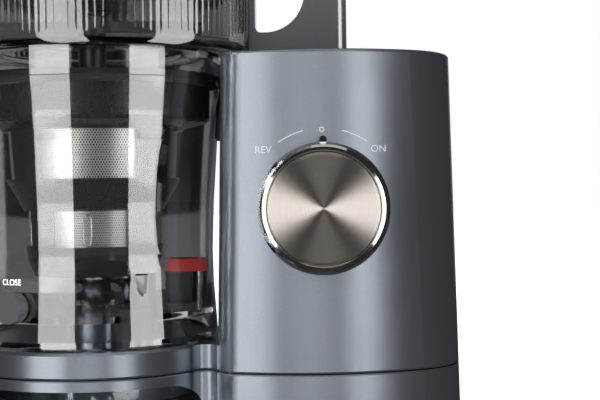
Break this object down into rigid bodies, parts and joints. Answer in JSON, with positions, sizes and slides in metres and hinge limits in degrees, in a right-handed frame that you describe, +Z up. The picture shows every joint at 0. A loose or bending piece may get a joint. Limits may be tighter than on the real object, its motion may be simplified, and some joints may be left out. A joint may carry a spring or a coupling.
{
  "type": "cold press juicer",
  "caption": "Tall cold press juicer with a slate motor tower, turned metal dial, smoky drum with strainer and a big ribbed hopper with loop handle",
  "frame": {"origin": "on the table under the middle of the whole juicer, at the bottom centre of its box", "axes": "+Z up, -Y towards the user and the dial, +X from the drum towards the motor tower"},
  "size_m": [0.276, 0.156, 0.4503],
  "materials": {
    "housing_paint": "satin slate blue",
    "dark_plastic": "fine matte",
    "black_rubber": "matte",
    "bright_steel": "fine brushed",
    "chrome_ring": "polished",
    "turned_face": "spun champagne",
    "smoky_clear": "smoky clear",
    "grey_plastic": "gloss",
    "red_silicone": "soft gloss",
    "gear_plastic": "natural",
    "zinc_plate": "plated",
    "board_green": "board",
    "bearing_brass": "plain"
  },
  "bodies": {
    "base": {"rubber_feet": "black_rubber", "base_plate": "dark_plastic", "base_screws": "zinc_plate", "lower_housing": "housing_paint", "cord_gland": "dark_plastic", "pulp_chute": "dark_plastic", "upper_housing": "housing_paint", "tower_top_cover": "dark_plastic", "vent_screen": "dark_plastic", "gear_plate": "zinc_plate", "motor_bracket": "zinc_plate", "bracket_screws": "zinc_plate", "gearhead": "zinc_plate", "motor_can": "zinc_plate", "motor_end_cap": "dark_plastic", "control_board": "board_green", "board_standoffs": "zinc_plate", "board_components": "gear_plastic", "idler_pin": "bright_steel", "upper_bearing": "bright_steel", "lower_bearing": "bearing_brass", "shaft_seal": "black_rubber", "dial_bezel": "dark_plastic", "rotary_switch": "dark_plastic", "interlock_switch": "dark_plastic"},
    "drive": {"final_gear": "gear_plastic", "drive_shaft": "bright_steel"},
    "idler": {"idler_gear": "gear_plastic"},
    "pinion": {"pinion_gear": "zinc_plate", "motor_shaft": "bright_steel"},
    "dial": {"dial_core": "dark_plastic", "dial_ring": "chrome_ring", "dial_face": "turned_face", "dial_pointer": "chrome_ring"},
    "container": {"pulp_container": "smoky_clear"},
    "drum": {"drum_bowl": "smoky_clear", "pulp_duct": "dark_plastic", "pulp_guide": "dark_plastic", "duct_packing": "red_silicone", "gate_pin": "bright_steel", "drum_gasket": "black_rubber", "strainer_frame": "dark_plastic", "lower_mesh": "bright_steel", "upper_mesh": "bright_steel"},
    "juice_valve": {"juice_valve": "dark_plastic"},
    "auger": {"auger": "dark_plastic", "auger_insert": "bright_steel"},
    "seal_ring": {"hopper_seal": "black_rubber"},
    "hopper": {"hopper_collar": "smoky_clear", "hopper_body": "smoky_clear", "hopper_handle": "grey_plastic", "handle_magnet": "zinc_plate", "lid_hinge_pin": "bright_steel"},
    "rotor": {"mixing_rotor": "dark_plastic"},
    "lid": {"hopper_lid": "smoky_clear"}
  },
  "joints": [
    {"name": "dial_turn", "type": "hinge", "parent": "base", "child": "dial", "pos_m": [0.0673, -0.0553, 0.171], "axis": [0, 1, 0], "range_deg": [-40, 40]},
    {"name": "drive_turn", "type": "hinge", "parent": "base", "child": "drive", "pos_m": [-0.05, 0, 0.095], "axis": [0, 0, 1], "continuous": true},
    {"name": "idler_turn", "type": "hinge", "parent": "base", "child": "idler", "pos_m": [0.02453, 0.00836, 0.0945], "axis": [0, 0, 1], "continuous": true},
    {"name": "pinion_turn", "type": "hinge", "parent": "base", "child": "pinion", "pos_m": [0.07521, 0.01405, 0.0945], "axis": [0, 0, 1], "continuous": true},
    {"name": "container_slide", "type": "slide", "parent": "base", "child": "container", "axis": [0, -1, 0], "range_m": [0, 0.13]},
    {"name": "drum_lift", "type": "slide", "parent": "base", "child": "drum", "axis": [0, 0, 1], "range_m": [0, 0.06]},
    {"name": "valve_turn", "type": "hinge", "parent": "drum", "child": "juice_valve", "pos_m": [-0.07911, -0.05474, 0.126], "axis": [-0.4695, -0.8829, 0], "range_deg": [0, 90]},
    {"name": "auger_turn", "type": "hinge", "parent": "drum", "child": "auger", "pos_m": [-0.05, 0, 0.18], "axis": [0, 0, 1], "continuous": true},
    {"name": "hopper_twist", "type": "hinge", "parent": "drum", "child": "seal_ring", "pos_m": [-0.05, 0, 0.235], "axis": [0, 0, 1], "range_deg": [0, 25]},
    {"name": "hopper_lift", "type": "slide", "parent": "seal_ring", "child": "hopper", "axis": [0, 0, 1], "range_m": [0, 0.05]},
    {"name": "rotor_turn", "type": "hinge", "parent": "hopper", "child": "rotor", "pos_m": [-0.05, 0, 0.256], "axis": [0, 0, 1], "continuous": true},
    {"name": "lid_swing", "type": "hinge", "parent": "hopper", "child": "lid", "pos_m": [-0.042, 0.074, 0.433], "axis": [-1, 0, 0], "range_deg": [0, 95]}
  ],
  "couplings": [
    {"joint": "idler_turn", "follows": "drive_turn", "ratio": -0.92308},
    {"joint": "pinion_turn", "follows": "drive_turn", "ratio": 3},
    {"joint": "auger_turn", "follows": "drive_turn", "ratio": 1},
    {"joint": "rotor_turn", "follows": "drive_turn", "ratio": 1}
  ]
}
